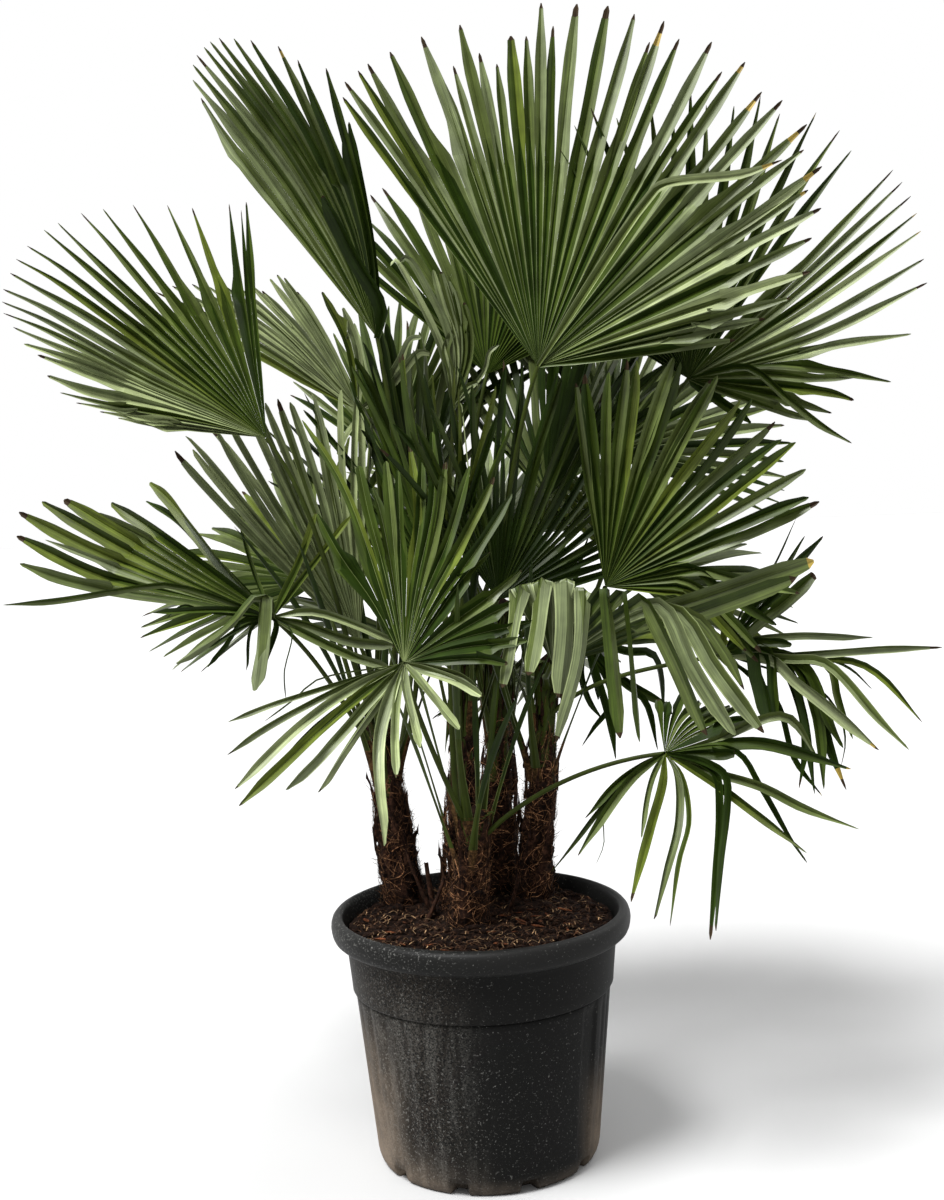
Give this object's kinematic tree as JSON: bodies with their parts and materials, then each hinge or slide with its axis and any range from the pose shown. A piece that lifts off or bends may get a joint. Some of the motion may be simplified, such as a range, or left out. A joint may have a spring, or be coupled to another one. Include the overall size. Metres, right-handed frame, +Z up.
{
  "type": "potted multi-stem windmill palm",
  "caption": "Clump-grown fan palm with short fibre-clad stems and a full crown of pleated fan fronds, growing in a tapered black nursery pot; used as a container plant.",
  "frame": {"origin": "centre of the flat underside of the pot", "axes": "+Z up through the plant, -Y towards the front that the picture shows, +X to the right seen from the front"},
  "size_m": [1.5744, 1.318, 1.9667],
  "materials": {
    "pot": "matte, dusty",
    "soil": "rough, fibrous",
    "stem": "rough, hairy fibre",
    "frond": "satin leaf"
  },
  "bodies": {
    "root": {"pot": "pot", "soil": "soil", "stem_left": "stem", "stem_centre_rear": "stem", "stem_front": "stem", "stem_right_rear": "stem", "stem_right": "stem", "frond_top": "frond", "frond_upper_right": "frond", "frond_upper_left": "frond", "frond_left": "frond", "frond_left_rear": "frond", "frond_grey": "frond", "frond_front_left": "frond", "frond_front_right": "frond", "frond_mid_left": "frond", "frond_centre": "frond", "frond_mid_right": "frond", "frond_right": "frond", "frond_low_right": "frond", "frond_centre_left": "frond", "frond_low_inner": "frond", "frond_silver": "frond", "frond_inner_left": "frond", "frond_inner_right": "frond", "frond_rear_top": "frond", "frond_rear_top_left": "frond", "frond_rear_top_right": "frond", "frond_rear_left": "frond", "frond_rear_mid": "frond", "frond_rear_right": "frond", "frond_rear_low_left": "frond", "frond_rear_low_right": "frond"}
  },
  "joints": []
}
